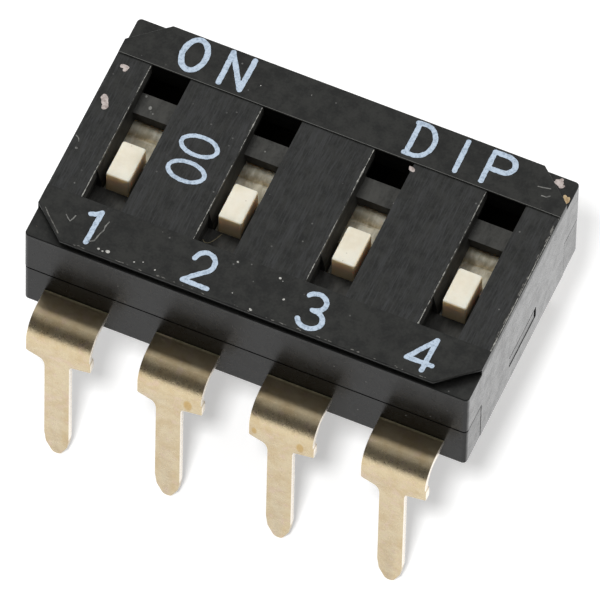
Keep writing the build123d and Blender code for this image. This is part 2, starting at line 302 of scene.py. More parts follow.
class FormingGraph(Graph):
    """A geometry node tree with named sizes, and the modifier that runs it."""

    def __init__(self, name: str, numbers: Sequence[str], counts: Sequence[str] = ()) -> None:
        """Starts the tree with its inputs.

        Args:
            name: the tree's name.
            numbers: names of the inputs that hold a number.
            counts: names of the inputs that hold a whole number.
        """
        super().__init__(bpy.data.node_groups.new(name, "GeometryNodeTree"))
        kinds = [("Geometry", "Geometry"), *((label, "Float") for label in numbers),
                 *((label, "Int") for label in counts), ("Plate", "Material")]
        for label, kind in kinds:
            self.tree.interface.new_socket(label, in_out="INPUT", socket_type=f"NodeSocket{kind}")
        self.tree.interface.new_socket("Geometry", in_out="OUTPUT", socket_type="NodeSocketGeometry")
        entry = self.node("NodeGroupInput")
        self.given = {label: entry.other(label) for label, _ in kinds}

    def close(self, geometry: Value) -> None:
        """Ends the tree in plain geometry with its material."""
        solid = self.node("GeometryNodeRealizeInstances", {}, {"Geometry": geometry})
        dressed = self.node("GeometryNodeSetMaterial", {}, {"Geometry": solid, "Material": self.given["Plate"]})
        self.node("NodeGroupOutput", {}, {0: dressed})

    def run_on(self, piece: bpy.types.Object, **sizes: Any) -> None:
        """Puts the tree on a piece as a modifier.

        Args:
            piece: the piece whose mesh the tree takes.
            **sizes: a value for each named input.
        """
        modifier = piece.modifiers.new("forming", "NODES")
        modifier.node_group = self.tree
        for item in self.tree.interface.items_tree:
            if item.in_out == "INPUT" and item.name in sizes:
                modifier[item.identifier] = sizes[item.name]


@dataclass(frozen=True)
class Levels:
    """Heights and edges of the housing, in millimetres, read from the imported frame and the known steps."""

    top: float
    recess: float
    bar: float
    shelf: float
    ledge: float
    seat: float
    front: float
    end: float
    recess_on_y: float = 1.87
    recess_number_y: float = -1.735
    strip_rise: float = 0.04
    bar_depth: float = 0.24
    shelf_depth: float = 0.65
    ledge_depth: float = 0.17
    slot_half: float = 0.45

    @classmethod
    def from_frame(cls) -> "Levels":
        """Reads the housing's own corners.

        Returns:
            The levels of this housing.
        """
        low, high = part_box("cover")
        seat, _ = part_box("base")
        top = high.z / MM
        recess = top - cls.strip_rise
        return cls(top=top, recess=recess, bar=recess - cls.bar_depth, shelf=recess - cls.shelf_depth,
                   ledge=recess - cls.ledge_depth, seat=seat.z / MM, front=low.y / MM, end=high.x / MM)


def slot_x(position: int) -> float:
    """X of a position's centre line in millimetres, for positions counted from 0."""
    return (position - (POSITIONS - 1) / 2) * PITCH


@dataclass(frozen=True)
class BlackMoulding:
    """Black filled nylon: brushed in the recess, dusty on top, glossy on its walls."""

    name: str
    levels: Levels
    tone: Colour = (0.0042, 0.0044, 0.0043)
    top_dark: Colour = (0.0165, 0.0170, 0.0163)
    top_light: Colour = (0.0330, 0.0335, 0.0312)
    # painted light: slot walls and bars painted lighter grey, standing in for the light they catch
    streak: Colour = (0.046, 0.047, 0.048)
    slot_painted_light: Colour = (0.062, 0.061, 0.056)
    dust: Colour = (0.060, 0.061, 0.056)
    # painted light: the ON step's face lightened to cancel its shade line
    step_painted_light: Colour = (0.20, 0.20, 0.19)
    # painted highlight: the lit band painted on each slot's left wall
    cheek: Colour = (0.20, 0.20, 0.185)
    scuff: Colour = (0.20, 0.20, 0.19)
    streak_scale: float = 11.0
    streak_length: float = 0.09
    top_roughness: float = 0.44
    wall_roughness: float = 0.27
    end_gloss: float = 1.0
    bar_end_y: float = 1.30

    def _tones(self, graph: ShaderGraph, mottle: Value, recess: Value, brushed: Value) -> Value:
        """The moulding's colour: dark walls, dusty top, streaked recess, slot walls and bars painted lighter grey as
        painted light, a painted light band on each slot's left wall, and the ON step's face painted light against
        its shade.

        Args:
            graph: the material that grows.
            mottle: slow noise.
            recess: 1 on the recessed face.
            brushed: 1 in a light streak of the recess.

        Returns:
            The colour.
        """
        levels = self.levels
        ledge = graph.within(graph.z, levels.ledge - 0.006, levels.ledge + 0.006, 0.003)
        upper = graph.ramp(graph.z, levels.recess - 0.02, levels.recess - 0.012).most(ledge)
        cloudy = graph.ramp(mottle * 0.7 + graph.grain(17.0, 3.0, 0.7) * 0.3, 0.36, 0.64)
        dusty = graph.blend(cloudy, self.top_dark, self.top_light)
        colour = graph.blend(upper, self.tone, dusty)
        # Painted light inside each slot: walls and bar painted lighter grey, varied by streaky noise; the hole at
        # the ON end stays dark.
        opening = graph.within(graph.y, levels.recess_number_y - 0.06, levels.recess_on_y + 0.06, 0.01)
        slot = (opening * graph.within(graph.z, levels.shelf - 0.03, levels.recess - 0.03, 0.02)
                * (1 - graph.ramp(graph.absolute(graph.across_pitch()), 0.455, 0.47))
                * (1 - graph.ramp(graph.y, self.bar_end_y - 0.01, self.bar_end_y + 0.01) * 0.85))
        worn = graph.ramp(graph.grain(5.0, 4.0, 0.7, (1.0, 0.35, 1.0)), 0.30, 0.72) * 0.6 + 0.4
        colour = graph.blend(slot * worn, colour, self.slot_painted_light)
        # Painted highlight: a lit band painted down each slot's left wall, varied by the same streaks.
        cheek = (graph.within(graph.across_pitch(), -levels.slot_half - 0.012, -levels.slot_half + 0.012, 0.004)
                 * graph.within(graph.z, levels.bar - 0.10, levels.recess - 0.01, 0.01))
        colour = graph.blend(cheek * worn * opening, colour, self.cheek)
        colour = graph.blend(brushed * recess * upper, colour, self.streak)
        # Painted light: the ON step's face is lightened so that its shade line does not show.
        step = (graph.within(graph.y, levels.recess_on_y - 0.007, levels.recess_on_y + 0.007, 0.003)
                * graph.ramp(graph.z, levels.recess + 0.002, levels.recess + 0.006))
        colour = graph.blend(step, colour, self.step_painted_light)
        speck = graph.spots(5.5, 0.13, 0.14) * graph.ramp(graph.grain(0.9), 0.40, 0.60)
        colour = graph.blend(speck * 0.6, colour, self.scuff)
        bar = graph.within(graph.z, levels.bar - 0.012, levels.bar + 0.012, 0.004)
        settled = graph.ramp(graph.grain(12.0, 4.0, 0.75), 0.38, 0.68) * bar
        return graph.blend(settled * 0.6, colour, self.dust)

    def make(self) -> bpy.types.Material:
        """Builds the material.

        Returns:
            The black moulding's material.
        """
        graph = ShaderGraph(self.name)
        levels = self.levels
        recess = (graph.within(graph.z, levels.recess - 0.012, levels.recess + 0.012, 0.004)
                  * graph.within(graph.y, levels.recess_number_y, levels.recess_on_y, 0.02))
        along = (1.0, self.streak_length, 1.0)
        fine = graph.grain(self.streak_scale * 2.2, 4.0, 0.7, along)
        broad = graph.grain(self.streak_scale * 0.4, 3.0, 0.6, along)
        brushed = graph.ramp(fine * 0.7 + broad * 0.3, 0.40, 0.68)
        mottle = graph.grain(3.2, 4.0, 0.65)
        colour = self._tones(graph, mottle, recess, brushed)
        end = graph.ramp(graph.absolute(graph.x), levels.end - 0.03, levels.end - 0.015)
        front = graph.ramp(graph.absolute(graph.y), -levels.front - 0.03, -levels.front - 0.015)
        below = 1 - graph.ramp(graph.z, levels.ledge - 0.04, levels.ledge - 0.005)
        wall = front.most(end) * below
        roughness = graph.ramp(mottle, 0.25, 0.75) * 0.10 + (self.top_roughness - 0.05) + brushed * recess * 0.10
        roughness = roughness - wall * (self.top_roughness - self.wall_roughness)
        height = (fine * recess * 0.7 + graph.grain(14.0, 2.0) * (1 - recess) * 0.5) * (1 - wall * 0.8)
        worn = graph.ramp(graph.z + (mottle - 0.5) * 0.12, levels.recess - 0.20, levels.recess - 0.02)
        blotch = graph.ramp(graph.grain(2.2, 5.0, 0.75), 0.36, 0.60) * 0.20 + 0.30
        polish = end * self.end_gloss * blotch * (1 - worn * 0.55)
        return graph.finish(Base_Color=colour, Roughness=roughness, Normal=graph.bump(height, 0.006, 0.7),
                            IOR=1.29, Coat_Weight=polish, Coat_Roughness=0.20, Coat_IOR=1.5)


@dataclass(frozen=True)
class CreamMoulding:
    """Cream unfilled plastic of the sliders: a painted warm glow on the knob's upright faces, painted shade low down
    and on its deck.
    """

    levels: Levels
    name: str = "cream_moulding"
    pale: Colour = (0.86, 0.81, 0.68)
    deep: Colour = (0.77, 0.70, 0.55)
    # painted shade: the dark brown of the slider's low faces and deck
    foot_shade: Colour = (0.19, 0.165, 0.110)
    # painted light: warm glow colours of the knob's upright faces, the paler one near the top
    glow_high: Colour = (0.95, 0.83, 0.62)
    glow_low: Colour = (0.90, 0.70, 0.43)
    spot: Colour = (0.34, 0.27, 0.18)
    knob_front: float = -0.93
    knob_half: float = 0.275

    def make(self) -> bpy.types.Material:
        """Builds the material.

        Returns:
            The slider's material.
        """
        graph = ShaderGraph(self.name)
        levels = self.levels
        cloud = graph.grain(2.4, 3.0)
        colour = graph.blend(graph.ramp(cloud, 0.35, 0.75), self.pale, self.deep)
        colour = graph.blend(graph.spots(7.0, 0.12, 0.08) * 0.5, colour, self.spot)
        # Painted shade: darker and browner towards the bottom of the slot, on the knob's lower faces and the deck,
        # streaked by noise.
        foot = 1 - graph.ramp(graph.z + (cloud - 0.5) * 0.10, levels.shelf + 0.12, levels.recess - 0.25)
        streaky = graph.ramp(graph.grain(5.0, 3.0, 0.6, (1.0, 0.3, 1.0)), 0.35, 0.65) * 0.35 + 0.6
        colour = graph.blend(foot * streaky, colour, self.foot_shade)
        # Painted light: a warm glow painted on the knob's front face and flank, paler towards the top, for light
        # coming through the plastic.
        rise = graph.ramp(graph.z, levels.shelf + 0.08, levels.recess - 0.13)
        glow = graph.blend(rise, self.glow_low, self.glow_high)
        front = 1 - graph.ramp(graph.y, self.knob_front + 0.01, self.knob_front + 0.035)
        flank = (graph.ramp(graph.absolute(graph.across_pitch()), self.knob_half - 0.02, self.knob_half)
                 * graph.ramp(graph.z, levels.shelf + 0.12, levels.shelf + 0.15)
                 * (1 - graph.ramp(graph.y, 0.0, 0.02)))
        colour = graph.blend(front.most(flank), colour, glow)
        normal = graph.bump(graph.grain(9.0, 3.0), 0.008, 0.4)
        return graph.finish({"subsurface_method": "BURLEY"}, Base_Color=colour, Roughness=0.42, Normal=normal,
                            IOR=1.45, Subsurface_Weight=0.6, Subsurface_Radius=(1.0, 0.65, 0.35),
                            Subsurface_Scale=0.32 * MM)


@dataclass(frozen=True)
class GoldPlate:
    """Pale gold plate on a rolled strip, crazed where it is bent, with paler sheared edges."""

    name: str = "gold_plate"
    top: float = 4.58
    pale: Colour = (0.600, 0.500, 0.328)
    deep: Colour = (0.535, 0.418, 0.248)
    rose: Colour = (0.600, 0.460, 0.355)
    amber: Colour = (0.47, 0.30, 0.085)
    sheared: Colour = (0.93, 0.86, 0.76)
    grease: Colour = (0.34, 0.31, 0.18)
    wide_half: float = 0.745
    pin_right: float = 0.255
    shoulder: float = 3.56
    wall_y: float = 2.94
    stains: tuple[tuple[float, float, float], ...] = (
        (-0.86, 3.82, 0.115), (1.69, 3.83, 0.10), (0.65, 3.84, 0.07))

    def make(self) -> bpy.types.Material:
        """Builds the material.

        Returns:
            The terminals' material.
        """
        graph = ShaderGraph(self.name)
        crazed = graph.grain(13.0, 5.0, 0.75)
        cloud = graph.grain(2.3, 4.0, 0.65)
        colour = graph.blend(graph.ramp(cloud, 0.38, 0.66), self.pale, self.deep)
        colour = graph.blend(graph.ramp(graph.grain(4.7, 3.0), 0.52, 0.70) * 0.6, colour, self.rose)
        outer = graph.ramp(graph.absolute(graph.y), 3.86, 3.88)
        colour = graph.blend(graph.near(self.stains) * outer * 0.75, colour, self.amber)
        side = graph.across_pitch()
        wide = graph.ramp(graph.absolute(side), self.wide_half - 0.016, self.wide_half - 0.008)
        pin = (graph.ramp(side, self.pin_right - 0.010, self.pin_right - 0.004)
               * (1 - graph.ramp(graph.z, self.shoulder - 0.12, self.shoulder - 0.08)))
        bend = (graph.ramp(side, self.wide_half - 0.043, self.wide_half - 0.037)
                * graph.ramp(graph.z, self.top - 0.62, self.top - 0.56))
        colour = graph.blend(wide.most(pin).most(bend), colour, self.sheared)
        bent = graph.within(graph.z, self.top - 0.40, self.top - 0.05, 0.05)
        joint = graph.within(graph.absolute(graph.y), self.wall_y - 0.004, self.wall_y + 0.030, 0.004)
        joint = joint * graph.ramp(graph.z, self.top - 0.02, self.top - 0.01)
        colour = graph.blend(joint * graph.ramp(cloud, 0.3, 0.5), colour, self.grease)
        roughness = graph.ramp(crazed, 0.3, 0.7) * 0.10 + 0.24
        level = graph.ramp(graph.z, self.top - 0.03, self.top - 0.01)
        height = (crazed * (bent * 0.75 + 0.10) + graph.grain(5.0, 2.0) * 0.24) * (1 - level * 0.9)
        return graph.finish(Base_Color=colour, Metallic=1 - joint * 0.9,
                            Roughness=roughness + joint * 0.3 + level * 0.08,
                            Normal=graph.bump(height, 0.014, 0.45))


@dataclass(frozen=True)
class PrintInk:
    """Pale blue-white marking ink, a little thin in places."""

    name: str = "marking_ink"
    full: Colour = (0.55, 0.655, 0.78)
    thin: Colour = (0.27, 0.345, 0.44)

    def make(self) -> bpy.types.Material:
        """Builds the material.

        Returns:
            The ink's material.
        """
        graph = ShaderGraph(self.name)
        patchy = graph.ramp(graph.grain(14.0, 4.0, 0.8), 0.44, 0.66)
        colour = graph.blend(patchy * 0.8, self.full, self.thin)
        return graph.finish(Base_Color=colour, Roughness=0.55, IOR=1.45,
                            Normal=graph.bump(graph.grain(16.0, 2.0), 0.003, 0.5))


@dataclass(frozen=True)
class PlainMark:
    """A small mark in one tone with a mottled second tone: bare filler, dust or a raised burr."""

    name: str
    main: Colour
    second: Colour
    roughness: float = 0.6

    def make(self) -> bpy.types.Material:
        """Builds the material.

        Returns:
            The mark's material.
        """
        graph = ShaderGraph(self.name)
        colour = graph.blend(graph.ramp(graph.grain(9.0, 4.0, 0.7), 0.4, 0.65), self.main, self.second)
        return graph.finish(Base_Color=colour, Roughness=self.roughness,
                            Normal=graph.bump(graph.grain(20.0, 2.0), 0.004, 0.5))


def place_mesh(name: str, mesh: bpy.types.Mesh) -> bpy.types.Object:
    """Puts a mesh into the scene with its object at the origin."""
    piece = bpy.data.objects.new(name, mesh)
    bpy.context.scene.collection.objects.link(piece)
    return piece


def settle(piece: bpy.types.Object, body: str) -> bpy.types.Object:
    """Makes a piece ride on a body.

    Args:
        piece: the finished piece.
        body: the CAD body that it moves with.

    Returns:
        The same piece.
    """
    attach(piece, body)
    LOG.info("%s rides on %s with %d faces", piece.name, body, len(piece.data.polygons))
    return piece


def bake_modifiers(piece: bpy.types.Object) -> None:
    """Turns a piece with live modifiers into a plain mesh at the origin."""
    graph = bpy.context.evaluated_depsgraph_get()
    mesh = bpy.data.meshes.new_from_object(piece.evaluated_get(graph))
    mesh.name = piece.name
    piece.modifiers.clear()
    piece.data = mesh


@dataclass(frozen=True)
class Stroke:
    """A pen line through a few points, in millimetres on a level face."""

    points: tuple[Point, ...]
    half_width: float = 0.06

    def distance(self, x: np.ndarray, y: np.ndarray) -> np.ndarray:
        """Distance from grid points to the line's edge, negative inside it.

        Args:
            x: the grid's X values.
            y: the grid's Y values.

        Returns:
            The signed distance.
        """
        best = np.full(x.shape, np.inf)
        for (x0, y0), (x1, y1) in zip(self.points, self.points[1:]):
            run_x, run_y = x1 - x0, y1 - y0
            square = max(run_x * run_x + run_y * run_y, 1e-12)
            share = np.clip(((x - x0) * run_x + (y - y0) * run_y) / square, 0, 1)
            best = np.minimum(best, np.hypot(x - x0 - share * run_x, y - y0 - share * run_y))
        return best - self.half_width


@dataclass(frozen=True)
class Patch:
    """A ragged oval patch."""

    middle: Point
    radii: Point
    turn: float = 0.0

    @property
    def points(self) -> tuple[Point, ...]:
        """Two corners of a box that holds the patch."""
        reach = max(self.radii)
        return ((self.middle[0] - reach, self.middle[1] - reach),
                (self.middle[0] + reach, self.middle[1] + reach))

    def distance(self, x: np.ndarray, y: np.ndarray) -> np.ndarray:
        """Distance-like value from grid points, negative inside the patch."""
        away_x, away_y = x - self.middle[0], y - self.middle[1]
        c, s = math.cos(self.turn), math.sin(self.turn)
        across, along = away_x * c + away_y * s, away_y * c - away_x * s
        return (np.hypot(across / self.radii[0], along / self.radii[1]) - 1) * min(self.radii)


def arc(middle: Point, radii: Point, start: float, end: float, steps: int = 20) -> tuple[Point, ...]:
    """Points along an oval arc.

    Args:
        middle: the oval's centre.
        radii: its half width and half height.
        start: first angle in degrees, from +X towards +Y.
        end: last angle in degrees.
        steps: number of spans.

    Returns:
        The points, in order.
    """
    angles = [math.radians(start + (end - start) * step / steps) for step in range(steps + 1)]
    return tuple((middle[0] + radii[0] * math.cos(a), middle[1] + radii[1] * math.sin(a)) for a in angles)


@dataclass
class FlatMark:
    """A thin closed film on a level face, with a slightly ragged outline."""

    name: str
    shapes: Sequence[Stroke | Patch]
    level: float
    cell: float = 0.014
    thickness: float = 0.004
    ragged: float = 0.010
    ragged_scale: float = 13.0

    def build(self, material: bpy.types.Material) -> bpy.types.Object:
        """Fills the outline with small faces and gives it its thickness.

        Args:
            material: the film's material.

        Returns:
            The film as an object at the origin.
        """
        shell = bmesh.new()
        self._fill(shell, *self._ink())
        grown = bmesh.ops.extrude_face_region(shell, geom=shell.faces[:], use_keep_orig=True)
        tops = [item for item in grown["geom"] if isinstance(item, bmesh.types.BMVert)]
        bmesh.ops.translate(shell, vec=(0, 0, self.thickness * MM), verts=tops)
        bmesh.ops.recalc_face_normals(shell, faces=shell.faces[:])
        mesh = bpy.data.meshes.new(self.name)
        shell.to_mesh(mesh)
        shell.free()
        mesh.materials.append(material)
        return place_mesh(self.name, mesh)

    def _ink(self) -> tuple[np.ndarray, np.ndarray, np.ndarray]:
        """The whole mark's field on a grid, negative inside the mark.

        Returns:
            The grid's X values, its Y values and the field.
        """
        spots = np.array([spot for shape in self.shapes for spot in shape.points])
        margin = max(getattr(shape, "half_width", 0.0) for shape in self.shapes) + 3 * self.cell + self.ragged
        low, high = spots.min(0) - margin, spots.max(0) + margin
        xs = np.arange(low[0], high[0], self.cell)
        ys = np.arange(low[1], high[1], self.cell)
        grid_x, grid_y = np.meshgrid(xs, ys, indexing="ij")
        ink = np.full(grid_x.shape, np.inf)
        for shape in self.shapes:
            ink = np.minimum(ink, shape.distance(grid_x, grid_y))
        for i, j in zip(*np.nonzero(np.abs(ink) < self.ragged * 2)):
            ink[i, j] += self.ragged * noise.noise(Vector((xs[i], ys[j], self.level)) * self.ragged_scale)
        return xs, ys, ink

    def _fill(self, shell: bmesh.types.BMesh, xs: np.ndarray, ys: np.ndarray, ink: np.ndarray) -> None:
        """Adds the mark's faces, cut along the line where its field is zero.

        Args:
            shell: the mesh that grows.
            xs: the grid's X values.
            ys: the grid's Y values.
            ink: the field.
        """
        known: dict[tuple, bmesh.types.BMVert] = {}

        def corner(key: tuple, x: float, y: float) -> bmesh.types.BMVert:
            """The vertex of a key, made when it is first asked for."""
            if key not in known:
                known[key] = shell.verts.new((x * MM, y * MM, self.level * MM))
            return known[key]

        for i, j in zip(*np.nonzero(ink[:-1, :-1] < self.cell * 2)):
            ring = ((i, j), (i + 1, j), (i + 1, j + 1), (i, j + 1))
            outline = []
            for (a, b), (c, d) in zip(ring, ring[1:] + ring[:1]):
                here, there = ink[a, b], ink[c, d]
                if here < 0:
                    outline.append(corner((a, b), xs[a], ys[b]))
                if (here < 0) != (there < 0):
                    share = here / (here - there)
                    key = tuple(sorted(((a, b), (c, d))))
                    outline.append(corner(key, xs[a] + (xs[c] - xs[a]) * share, ys[b] + (ys[d] - ys[b]) * share))
            if len(outline) > 2:
                shell.faces.new(outline)


@dataclass
class TerminalRow:
    """One row of formed terminals: flat blanks bent, thickened and repeated by one node tree."""

    name: str
    nodes: tuple[str, ...]
    turn: float
    levels: Levels
    pad_end: float
    width: float = 1.49
    pin_width: float = 0.57
    pin_shift: float = -0.03
    root_width: float = 0.96
    root_depth: float = 0.26
    thickness: float = 0.17
    bend: float = 0.56
    shoulder_drop: float = 0.98
    shoulder_slope: float = 0.08
    shoulder_fillet: Point = (0.15, 0.27)
    shoulder_lift: float = 0.09
    bend_trim: float = 0.035
    taper: float = 0.70
    nose: Point = (0.245, 0.34)
    tip_half: float = 0.13
    tip_radius: float = 0.12
    edge: float = 0.014
    bend_rows: int = 28

    def __post_init__(self) -> None:
        """Works out the places along the strip from the frame."""
        low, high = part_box(self.nodes[0])
        self.top = high.z / MM
        self.face_y = max(abs(low.y), abs(high.y)) / MM
        self.wall_y = -self.levels.front
        self.run = self.face_y - self.wall_y - self.bend
        self.arc_length = self.bend * QUARTER_TURN

    def along(self, height: float) -> float:
        """Distance along the strip, from the wall, of a height on the upright blade."""
        return self.run + self.arc_length + (self.top - self.bend - height)

    def _outline(self) -> list[Point]:
        """The blade's outline below the bend, from its left edge round the tip to its right edge."""
        half, pin, shift = self.width / 2, self.pin_width / 2, self.pin_shift
        shoulder = self.along(self.top - self.shoulder_drop)
        tip, taper = self.along(0.0), self.along(self.taper)
        wide, tall = self.shoulder_fillet
        left = [(-half, shoulder - 0.05), (-half + 0.03, shoulder - 0.02)]
        left += list(arc((shift - pin - wide, shoulder + self.shoulder_slope + tall), (wide, tall), -85, 0, 8))
        nose_x, nose = self.nose[0], self.along(self.nose[1])
        left += [(shift - pin, taper), (shift - nose_x, nose)]
        corner = self.tip_half - self.tip_radius
        left += list(arc((shift - corner, tip - self.tip_radius), (self.tip_radius, self.tip_radius), 160, 90, 6))
        right = list(arc((shift + corner, tip - self.tip_radius), (self.tip_radius, self.tip_radius), 90, 20, 6))
        right += [(shift + nose_x, nose), (shift + pin, taper), (shift + pin, shoulder + 0.07),
                  (shift + pin + 0.03, shoulder + 0.06), (half - 0.03, shoulder + 0.06 - self.shoulder_lift),
                  (half, shoulder + 0.03 - self.shoulder_lift), (half, self.run + self.arc_length + 0.10)]
        return left + right

    def blank(self) -> bpy.types.Object:
        """The flat blank: X across the strip, Y the distance along it from the wall.

        Returns:
            The blank as an object that only feeds the node tree.
        """
        sheet = bmesh.new()
        half, root, pin = self.width / 2, self.root_width / 2, self.pin_width / 2
        columns = (-half, -root, -pin, pin, root, half - self.bend_trim)
        start, joint = -(self.wall_y - self.pad_end), -self.root_depth
        rows = [start, joint, 0.0, self.run]
        rows += [self.run + self.arc_length * row / self.bend_rows for row in range(1, self.bend_rows + 1)]
        grid = [[sheet.verts.new((x, row, 0)) for x in columns] for row in rows]
        for index, (here, there) in enumerate(zip(grid, grid[1:])):
            first, last = (1, len(columns) - 2) if index == 0 else (0, len(columns) - 1)
            for column in range(first, last):
                sheet.faces.new((here[column], here[column + 1], there[column + 1], there[column]))
        outline = [sheet.verts.new((x, along, 0)) for x, along in self._outline()]
        sheet.faces.new(list(grid[-1]) + outline[::-1])
        for vert in [v for v in sheet.verts if not v.link_faces]:
            sheet.verts.remove(vert)
        bmesh.ops.recalc_face_normals(sheet, faces=sheet.faces[:])
        if sheet.faces[0].normal.z < 0:
            bmesh.ops.reverse_faces(sheet, faces=sheet.faces[:])
        bmesh.ops.scale(sheet, vec=(MM, MM, MM), verts=sheet.verts[:])
        mesh = bpy.data.meshes.new(self.name)
        sheet.to_mesh(mesh)
        sheet.free()
        return place_mesh(self.name, mesh)

    def forming(self) -> FormingGraph:
        """The node tree that bends the blank, thickens it and repeats it along the row.

        Returns:
            The tree, with its sizes as named inputs.
        """
        graph = FormingGraph(f"{self.name}_forming", ("Wall", "Top", "Run", "Bend", "Thickness", "Pitch", "Turn"),
                             ("Count",))
        given = graph.given
        across, along, _ = graph.split(graph.node("GeometryNodeInputPosition"))
        bend, run = given["Bend"], given["Run"]
        angle = ((along - run) / bend).most(0.0).least(QUARTER_TURN)
        sine, cosine = graph.maths("SINE", angle), graph.maths("COSINE", angle)
        drop = (along - run - bend * QUARTER_TURN).most(0.0)
        y = 0.0 - (given["Wall"] + along.least(run) + bend * sine)
        z = given["Top"] - bend * (1 - cosine) - drop
        formed = graph.node("ShaderNodeCombineXYZ", {}, {0: across, 1: y, 2: z})
        bent = graph.node("GeometryNodeSetPosition", {}, {"Geometry": given["Geometry"], "Position": formed})
        thick = graph.node("GeometryNodeExtrudeMesh", {"mode": "FACES"},
                           {"Mesh": bent, "Offset Scale": given["Thickness"], "Individual": False}, "Mesh")
        back = graph.node("GeometryNodeFlipFaces", {}, {"Mesh": bent})
        shell = graph.node("GeometryNodeJoinGeometry", {}, {0: [thick, back]})
        closed = graph.node("GeometryNodeMergeByDistance", {}, {"Geometry": shell, "Distance": 1e-7})
        first = 0.0 - given["Pitch"] * (given["Count"] - 1) / 2
        line = graph.node("GeometryNodeMeshLine", {"mode": "OFFSET"}, {
            "Count": given["Count"],
            "Start Location": graph.node("ShaderNodeCombineXYZ", {}, {0: first}),
            "Offset": graph.node("ShaderNodeCombineXYZ", {}, {0: given["Pitch"]})})
        row = graph.node("GeometryNodeInstanceOnPoints", {}, {"Points": line, "Instance": closed})
        turned = graph.node("GeometryNodeTransform", {}, {
            "Geometry": row, "Rotation": graph.node("ShaderNodeCombineXYZ", {}, {2: given["Turn"]})})
        graph.close(turned)
        return graph

    def build(self, material: bpy.types.Material) -> bpy.types.Object:
        """Forms the whole row as one mesh, with softened edges.

        Args:
            material: the plating's material.

        Returns:
            The finished row.
        """
        piece = self.blank()
        self.forming().run_on(
            piece, Wall=self.wall_y * MM, Top=self.top * MM, Run=self.run * MM, Bend=self.bend * MM,
            Thickness=self.thickness * MM, Pitch=PITCH * MM, Turn=self.turn, Count=len(self.nodes), Plate=material)
        edges = piece.modifiers.new("edges", "BEVEL")
        edges.width, edges.segments = self.edge * MM, 2
        edges.limit_method, edges.angle_limit = "ANGLE", math.radians(40)
        bake_modifiers(piece)
        for face in piece.data.polygons:
            face.use_smooth = True
        piece.data.set_sharp_from_angle(angle=math.radians(35))
        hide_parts(*self.nodes)
        return settle(piece, HOUSING)


